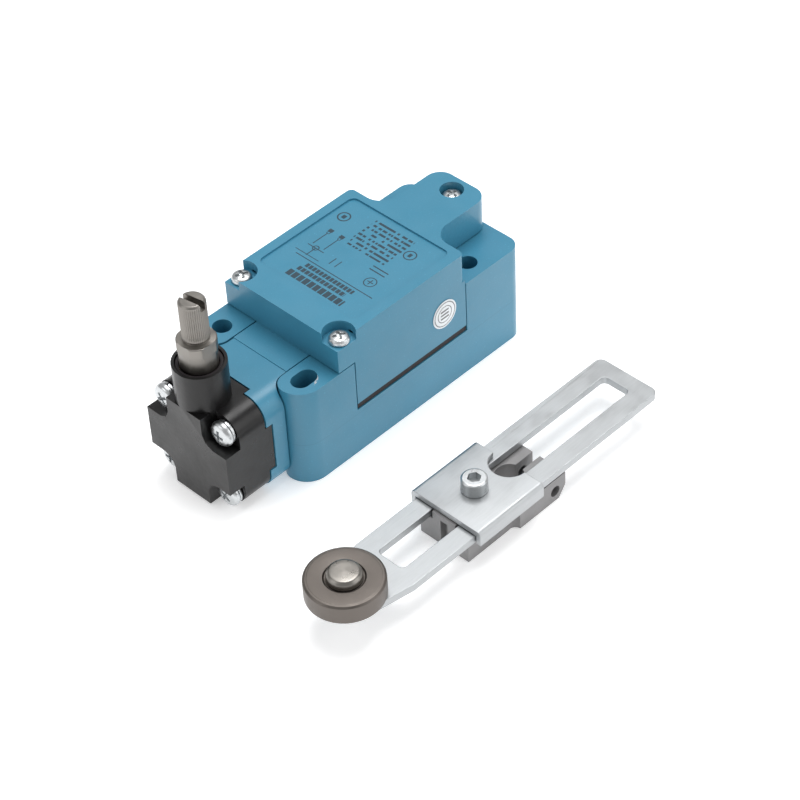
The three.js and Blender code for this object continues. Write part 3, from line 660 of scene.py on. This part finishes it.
class SWITCH_OT_lever_plates(bpy.types.Operator):
    """Slotted arm, bent bracket and die-cast clamp hub of the lever"""

    bl_idname = "switch.lever_plates"
    bl_label = "Lever plates"

    def execute(self, context):
        s = sizes()
        return finished([
            softened("lever_arm", "lever", finish("plate"), s.plate_edge, 2),
            softened("lever_bracket", "lever_clamp", finish("plate"), s.plate_edge, 3),
            softened("lever_hub", "lever_clamp", finish("die_cast"), s.hub_edge, 3)])


# pan head, as parts of its own radius (shank, shoulder, crown, recess) and height (side, fall, soft)
PAN = {"shank": 0.53, "shoulder": 0.86, "crown": 0.45, "recess": 0.62, "side": 0.55, "fall": 0.2, "soft": 0.22}
PAN_TIP = {"length": 0.5 * MM, "radius": 0.8}


def cross_screw(node, body, axis, h):
    """Pan head of height h with a cross recess, on a round shank, filling the CAD screw's own box.
    Its outline is turned about the axis, and the cross stands at an angle that follows from the screw's place."""
    s = sizes()
    centre, low, high = middle(node)
    k = {"z": 2, "-x": 0}[axis]
    whole = high[k] - low[k]
    r = (high[1] - low[1]) / 2
    origin = (centre[0], centre[1], high[2]) if axis == "z" else (low[0], centre[1], centre[2])
    shank = r * PAN["shank"]
    head = rounded([(shank, -h), (r, -h), (r, -h * PAN["side"]), (r * PAN["shoulder"], -h * PAN["fall"]),
                    (r * PAN["crown"], 0), (0, 0)], h * PAN["soft"])
    outline = np.concatenate([[[0, -whole], [shank * PAN_TIP["radius"], -whole],
                               [shank, -whole + PAN_TIP["length"]], [shank, -h]], head[1:]])
    reach = min(s.arm_of_cross, r * PAN["recess"])
    points = recessed_top(outline, cross_depth(reach, s.blade, s.recess))
    turn = 0.4 + 1.7 * (centre[1] + centre[2]) * 100 % 1.5
    x, y = points[..., 0].copy(), points[..., 1].copy()
    points[..., 0] = x * math.cos(turn) - y * math.sin(turn)
    points[..., 1] = x * math.sin(turn) + y * math.cos(turn)
    return Piece(node + "_pan").grid(placed(points, origin, axis)).build(
        body, "zinc_plate", finish("zinc"), [node], 40)


# cap screw, in metres: shank and its tip, head height, top chamfer, and the ridges of the grip
CAP = {"shank": 2 * MM, "tip": 1.7 * MM, "tip_length": 0.4 * MM, "head": 4 * MM, "drop": 0.35 * MM,
       "chamfer": 0.45 * MM, "soft": 0.2 * MM, "ridge": 0.09 * MM, "foot": 0.3 * MM, "top": 0.5 * MM}
RIDGES = 24


def socket_screw(node, body):
    """Cap screw with a hexagon socket. On the head's side r becomes r - ridge (1 - |cos 24 a|), a fine grip."""
    s = sizes()
    centre, low, high = middle(node)
    r, whole = (high[0] - low[0]) / 2, high[2] - low[2]
    outline = np.concatenate([
        [[0, -whole], [CAP["tip"], -whole], [CAP["shank"], -whole + CAP["tip_length"]], [CAP["shank"], -CAP["head"]]],
        rounded([(CAP["shank"], -CAP["head"]), (r, -CAP["head"]), (r, -CAP["drop"]), (r - CAP["chamfer"], 0), (0, 0)],
                CAP["soft"])[1:]])
    points = recessed_top(outline, hex_depth(s.hex, s.hex_depth), 192, 50)
    radius = np.hypot(points[..., 0], points[..., 1])
    a = np.arctan2(points[..., 1], points[..., 0])
    z = points[..., 2]
    side = (z > CAP["foot"] - CAP["head"]) & (z < -CAP["top"]) & (radius > r - 0.05 * MM)
    radius = np.where(side, radius - CAP["ridge"] * (1 - np.abs(np.cos(RIDGES * a))), radius)
    points = np.stack([radius * np.cos(a), radius * np.sin(a), z], axis=-1)
    return Piece(node + "_socket").grid(placed(points, (centre[0], centre[1], high[2]))).build(
        body, "zinc_plate", finish("zinc"), [node], 35)


COVER_PAN = 2.0 * MM
HEAD_PAN = 2.2 * MM


class SWITCH_OT_screws(bpy.types.Operator):
    """Pan-head screws of the cover and head, and the lever's socket screw"""

    bl_idname = "switch.screws"
    bl_label = "Screws"

    def execute(self, context):
        pieces = [cross_screw(node, "plug_in_unit", "z", COVER_PAN)
                  for node in ("cover_screw_near", "cover_screw_far", "tail_screw")]
        pieces += [cross_screw(node, "plug_in_unit", "-x", HEAD_PAN)
                   for node in sorted(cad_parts) if node.startswith("head_screw_")]
        return finished([*pieces, socket_screw("clamp_screw", "lever_clamp")])


WASHER = {"inner": 2.35 * MM, "lift": 0.12 * MM, "soft": 0.08 * MM, "gap": 0.08}


def split_washer(node):
    """Ring of rectangular section whose z rises by lift once round, cut open by a gap of twice the angle given."""
    centre, low, high = middle(node)
    half, outer = (high[0] - low[0]) / 2, (high[1] - low[1]) / 2
    inner, lift, gap = WASHER["inner"], WASHER["lift"], WASHER["gap"]
    section = rounded([(inner, half - lift), (inner, -half), (outer, -half), (outer, half - lift),
                       (inner, half - lift)], WASHER["soft"], 2)
    ring = turned(section, 72, lambda r, z, a: (r, z + lift * a / TAU), gap, TAU - 2 * gap)
    ends = [np.repeat(ring[:, i].mean(axis=0)[None, None], len(ring), axis=0) for i in (0, -1)]
    ring = np.concatenate([ends[0], ring, ends[1]], axis=1)
    return Piece(node + "_split").grid(placed(ring, centre, "-x"), wrap=False).build(
        "plug_in_unit", "zinc_plate", finish("zinc"), [node])


class SWITCH_OT_washers(bpy.types.Operator):
    """Split spring washers under the head screws"""

    bl_idname = "switch.washers"
    bl_label = "Spring washers"

    def execute(self, context):
        return finished([split_washer(node) for node in sorted(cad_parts)
                         if node.startswith("spring_washer_")])


# shaft, in metres: radius and height of its outline from the pivot through the journal and collar to the neck
KNURL_RADIUS = 3.55 * MM
SHAFT = [(0, 5 * MM), (3 * MM, 5 * MM), (3 * MM, 11 * MM), (4 * MM, 11 * MM), (4 * MM, 38.9 * MM),
         (4.95 * MM, 38.9 * MM), (4.95 * MM, 46 * MM), (5.15 * MM, 46.05 * MM), (5.15 * MM, 49.1 * MM),
         (4.9 * MM, 49.3 * MM), (3.3 * MM, 49.35 * MM), (3.3 * MM, 50 * MM), (KNURL_RADIUS, 50.2 * MM)]
COLLAR = {"low": 45.9 * MM, "high": 49.32 * MM, "radius": 4.8 * MM, "flat": 4.6 * MM}
KNURL = {"low": 50.2 * MM, "full": 50.6 * MM, "fade": 0.9 * MM, "end": 0.4 * MM, "radius": 3.4 * MM, "sharp": 0.8}
SLOT_EDGE = 0.06 * MM
SLOT_ABOVE = 45 * MM


def shaft_profile(top):
    """Outline of the shaft: the turned steps, the straight knurled wall, and the crown's rounded rim and flat."""
    foot = rounded(SHAFT, 0.12 * MM, 3)
    wall_z = np.linspace(50.3 * MM, top - 0.75 * MM, 22)
    wall = np.stack([np.full_like(wall_z, KNURL_RADIUS), wall_z], axis=1)
    rim = KNURL_RADIUS - np.array([0.08 * MM, 0.35 * MM, 0.6 * MM])
    crown_r = np.concatenate([rim, np.linspace(KNURL_RADIUS - 0.7 * MM, 0, 40)])
    crown_z = top - np.concatenate([[0.55, 0.22, 0.03], np.zeros(40)]) * MM
    return np.concatenate([foot, wall, np.stack([crown_r, crown_z], axis=1)])


def knurled_shaft():
    """Shaft turned from its outline, with flats, straight knurl and screwdriver slot."""
    s = sizes()
    centre, _, high = middle("shaft")
    top = high[2]

    def shape(radius, z, a):
        """Flats r = min(r, flat / max(|cos a|, |sin a|)) on the collar, teeth r - k |sin(n a / 2)|^0.8 on the
        knurled end, and the slot as a limit on z where |x cos t + y sin t| is under half its width."""
        collar = (z > COLLAR["low"]) & (z < COLLAR["high"]) & (radius > COLLAR["radius"])
        flat = COLLAR["flat"] / np.maximum(np.abs(np.cos(a)), np.abs(np.sin(a)))
        radius = np.where(collar, np.minimum(radius, flat), radius)
        knurled = (ease(z, KNURL["low"], KNURL["full"]) * (1 - ease(z, top - KNURL["fade"], top - KNURL["end"]))
                   * (radius > KNURL["radius"]))
        radius = radius - s.knurl * knurled * np.abs(np.sin(a * s.knurl_teeth / 2)) ** KNURL["sharp"]
        across = radius * np.cos(a) * math.cos(s.slot_turn) + radius * np.sin(a) * math.sin(s.slot_turn)
        inside = 1 - ease(np.abs(across), s.slot_width / 2 - SLOT_EDGE, s.slot_width / 2 + SLOT_EDGE)
        return radius, np.minimum(z, np.where(z > SLOT_ABOVE, top - s.slot_depth * inside, z))

    points = turned(shaft_profile(top), 352, shape)
    return Piece("shaft_knurled").grid(placed(points, (centre[0], centre[1], 0))).build(
        "turning_shaft", "bare_steel", finish("steel"), ["shaft"], 30)


RING_LIP = 0.25 * MM


def shaft_ring(node, inner, slot, material):
    """Ring round the shaft, with its outer top edge and inner edge lower than the top by a lip."""
    centre, low, high = middle(node)
    outer = (high[0] - low[0]) / 2
    under_lip = high[2] - RING_LIP
    section = rounded([(inner, low[2]), (outer, low[2]), (outer, under_lip), (outer - RING_LIP, high[2]),
                       (inner, under_lip), (inner, low[2])], 0.1 * MM, 3)
    return Piece(node + "_ring").grid(placed(turned(section, 72), (centre[0], centre[1], 0))).build(
        "plug_in_unit", slot, material, [node])


class SWITCH_OT_shaft(bpy.types.Operator):
    """Knurled shaft with its flats and screwdriver slot, and the seal and bush around it"""

    bl_idname = "switch.shaft"
    bl_label = "Shaft"

    def execute(self, context):
        return finished([
            knurled_shaft(),
            shaft_ring("shaft_seal", 5.15 * MM, "black_rubber", finish("rubber")),
            shaft_ring("shaft_bush", 4.3 * MM, "brass", finish("brass_sheet"))])


# roller and pin, in metres: bore, step of the recessed face, and the pin's stem, flange and riveted head
ROLLER = {"bore": 3.3 * MM, "step": 5.3 * MM, "soft": 0.15 * MM}
PIN = {"foot": 3.4 * MM, "base": 4 * MM, "base_top": 7.4 * MM, "stem": 2.2 * MM, "flange": 10.15 * MM,
       "journal": 3 * MM, "head": 4.6 * MM, "rise": 2.55 * MM, "soft": 0.4 * MM}


def roller_section(r, z0, z1):
    """Closed outline of the roller: chamfered edges, a fine groove line near the rim and a recess round the bore."""
    bore, step = ROLLER["bore"], ROLLER["step"]
    return rounded([(bore, z0 + 0.3 * MM), (bore + 0.3 * MM, z0), (r - 0.6 * MM, z0), (r, z0 + 0.6 * MM),
                    (r, z1 - 0.5 * MM), (r - 0.55 * MM, z1 - 0.05 * MM), (r - 1.0 * MM, z1 - 0.05 * MM),
                    (r - 1.1 * MM, z1), (step, z1), (step - 0.3 * MM, z1 - 0.45 * MM), (bore, z1 - 0.5 * MM),
                    (bore, z0 + 0.3 * MM)], ROLLER["soft"], 4)


def pin_outline(low, high):
    """Outline of the pin from its foot under the arm to the domed rivet head over the roller."""
    z = high - PIN["rise"]
    head = PIN["head"]
    return rounded([(0, low), (PIN["foot"], low), (PIN["base"], low + 0.5 * MM), (PIN["base"], PIN["base_top"]),
                    (PIN["stem"], PIN["base_top"]), (PIN["stem"], PIN["flange"]), (PIN["journal"], PIN["flange"]),
                    (PIN["journal"], z), (head, z), (head - 0.05 * MM, z + 1.5 * MM),
                    (head - 0.8 * MM, z + 2.4 * MM), (head - 2.0 * MM, z + 2.5 * MM), (0, z + PIN["rise"])],
                   PIN["soft"], 5)


class SWITCH_OT_roller(bpy.types.Operator):
    """Roller with its recessed face, and the riveted pin"""

    bl_idname = "switch.roller"
    bl_label = "Roller"

    def execute(self, context):
        centre, low, high = middle("roller")
        section = roller_section((high[0] - low[0]) / 2, low[2], high[2])
        roller = Piece("roller_turned").grid(placed(turned(section, 128), (centre[0], centre[1], 0))).build(
            "lever_roller", "sintered_steel", finish("roller_steel"), ["roller"], 40)
        centre, low, high = middle("roller_pin")
        outline = pin_outline(low[2], high[2])
        pin = Piece("roller_pin_rivet").grid(placed(turned(outline, 96), (centre[0], centre[1], 0))).build(
            "lever", "bare_steel", finish("pin_steel"), ["roller_pin"], 40)
        return finished([roller, pin])


COILS = {"head_spring": 5, "carrier_spring": 7}


class SWITCH_OT_springs(bpy.types.Operator):
    """Return springs of the plunger and of the contact carrier"""

    bl_idname = "switch.springs"
    bl_label = "Springs"

    def execute(self, context):
        s = sizes()
        pieces = []
        for node, turns in COILS.items():
            centre, low, high = middle(node)
            radius = (high[1] - low[1]) / 2 - s.wire
            points = helix(radius, low[0] + s.wire, high[0] - s.wire, turns, centre[2], s.wire * 0.96)
            pieces.append(Piece(node + "_wire").grid(points).build(
                "plug_in_unit", "bare_steel", finish("steel"), [node]))
        return finished(pieces)


class SWITCH_OT_sticker(bpy.types.Operator):
    """Round film sticker on the cover's near side"""

    bl_idname = "switch.sticker"
    bl_label = "Sticker"

    def execute(self, context):
        centre, low, high = middle("side_sticker")
        r, thick = (high[0] - low[0]) / 2, high[1] - low[1]
        disc = turned(rounded([(0, 0), (r, 0), (r, thick), (0, thick)], thick / 3, 2), 96)
        points = np.stack([disc[..., 0], high[1] - centre[1] - disc[..., 2], disc[..., 1]], axis=-1) + centre
        return finished([Piece("side_sticker_film").grid(points).build(
            "plug_in_unit", "label", sticker_film("film", (centre[0] / MM, centre[2] / MM)), ["side_sticker"])])


INNER_FINISHES = {
    "gasket": "rubber", "terminal_block": "dark_plastic", "terminal_clamp": "brass_sheet", "terminal_screw": "zinc",
    "ground_screw": "brass_sheet", "contact_block": "dark_plastic", "contact_blade": "brass_sheet",
    "contact_bridge": "brass_sheet", "contact_carrier": "nylon", "drive_cam": "steel", "head_plunger": "steel"}


class SWITCH_OT_inner_finishes(bpy.types.Operator):
    """Finishes of the pieces kept as modelled: gaskets, contacts, terminals, cam and plunger"""

    bl_idname = "switch.inner_finishes"
    bl_label = "Inner finishes"

    def execute(self, context):
        given = []
        for node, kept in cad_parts.items():
            for start, name in INNER_FINISHES.items():
                if node.startswith(start):
                    given.append(node)
                    for slot in kept.material_slots:
                        slot.material = finish(name)
        return finished(given)


FLOOR_HALF = 6.0
FLOOR_GLOW = 0.38
SKY = 0.5
# name, place, side of the square lamp, watts
LAMPS = (("key", (0.25, 0.1, 1.05), 0.7, 8.5),
         ("left", (-0.9, 0.35, 0.6), 0.6, 1.7),
         ("front", (0.45, -0.85, 0.5), 0.7, 2.4))
CAMERA = {"place": (-0.33820, -0.37151, 0.46109), "turn": (46.904, 2.344, -45.916), "sensor": 36.0, "lens": 114.87}


def aim(place):
    """Euler angles that turn -Z from place towards the origin."""
    x, y, z = place
    return (math.atan2(math.hypot(x, y), z), 0.0, math.atan2(y, x) + math.pi / 2)


def lay_floor(scene):
    """Level square floor through the origin, faintly glowing so that it stays white."""
    u = np.linspace(-FLOOR_HALF, FLOOR_HALF, 5)
    level = Piece("studio_floor").grid(np.stack(np.meshgrid(u, u, [0.0], indexing="ij"), axis=-1)[:, :, 0], wrap=False)
    mesh = bpy.data.meshes.new(level.name)
    mesh.from_pydata(np.concatenate(level.points).tolist(), [], np.concatenate(level.faces).tolist())
    ground = bpy.data.objects.new(level.name, mesh)
    scene.collection.objects.link(ground)
    white = Finish("studio_white", colours().floor, 0.9)
    white.set("Emission Color", (1, 1, 1, 1))
    white.set("Emission Strength", FLOOR_GLOW)
    ground.data.materials.append(white.material)
    ground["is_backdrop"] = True
    return ground


def hang_lamp(scene, name, place, size, watts):
    """Square area lamp that shines at the origin."""
    data = bpy.data.lights.new(name, "AREA")
    data.shape, data.size, data.energy = "SQUARE", size, watts
    lamp = bpy.data.objects.new(name, data)
    lamp.location = place
    lamp.rotation_euler = aim(place)
    scene.collection.objects.link(lamp)


def set_camera(scene):
    """The scene's camera, at its place and turn in degrees."""
    data = bpy.data.cameras.new("camera")
    data.sensor_width, data.lens = CAMERA["sensor"], CAMERA["lens"]
    data.clip_start, data.clip_end = 0.05, 20.0
    camera = bpy.data.objects.new("camera", data)
    camera.location = CAMERA["place"]
    camera.rotation_euler = [math.radians(a) for a in CAMERA["turn"]]
    scene.collection.objects.link(camera)
    scene.camera = camera


class SWITCH_OT_stage(bpy.types.Operator):
    """Pale floor, soft lights and the camera"""

    bl_idname = "switch.stage"
    bl_label = "Stage"

    def execute(self, context):
        scene = context.scene
        ground = lay_floor(scene)
        world = bpy.data.worlds.new("studio")
        world.use_nodes = True
        sky = world.node_tree.nodes["Background"].inputs
        sky["Color"].default_value = (1, 1, 1, 1)
        sky["Strength"].default_value = SKY
        scene.world = world
        for lamp in LAMPS:
            hang_lamp(scene, *lamp)
        set_camera(scene)
        scene.view_settings.view_transform = "Standard"
        return finished([ground])


# ---- add-on -----------------------------------------------------------------------------------------------------

STEPS = (SWITCH_OT_castings, SWITCH_OT_lever_plates, SWITCH_OT_screws, SWITCH_OT_washers, SWITCH_OT_shaft,
         SWITCH_OT_roller, SWITCH_OT_springs, SWITCH_OT_sticker, SWITCH_OT_inner_finishes, SWITCH_OT_stage)


class SWITCH_PT_panel(bpy.types.Panel):
    """Sizes, colours and build steps of the limit switch"""

    bl_idname = "SWITCH_PT_panel"
    bl_label = "Limit switch"
    bl_space_type = "VIEW_3D"
    bl_region_type = "UI"
    bl_category = "Switch"

    def draw(self, context):
        for step in STEPS:
            self.layout.operator(step.bl_idname)
        for group in (context.scene.switch_sizes, context.scene.switch_colours):
            box = self.layout.box()
            for name in group.__annotations__:
                box.prop(group, name)


CLASSES = (SwitchSizes, SwitchColours, *STEPS, SWITCH_PT_panel)


def register():
    for cls in CLASSES:
        bpy.utils.register_class(cls)
    bpy.types.Scene.switch_sizes = bpy.props.PointerProperty(type=SwitchSizes)
    bpy.types.Scene.switch_colours = bpy.props.PointerProperty(type=SwitchColours)


def unregister():
    del bpy.types.Scene.switch_colours
    del bpy.types.Scene.switch_sizes
    for cls in reversed(CLASSES):
        bpy.utils.unregister_class(cls)


def corners(bounds):
    """A box as two plain lists of numbers."""
    return [[float(v) for v in corner] for corner in bounds]


def main():
    """Registers the add-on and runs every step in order."""
    register()
    for step in STEPS:
        area, name = step.bl_idname.split(".")
        if getattr(getattr(bpy.ops, area), name)() != {"FINISHED"}:
            raise RuntimeError(f"{step.bl_idname} did not finish")
    {"frame": corners(cad_box), "visual": corners(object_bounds())}


if __name__ == "__main__":
    main()
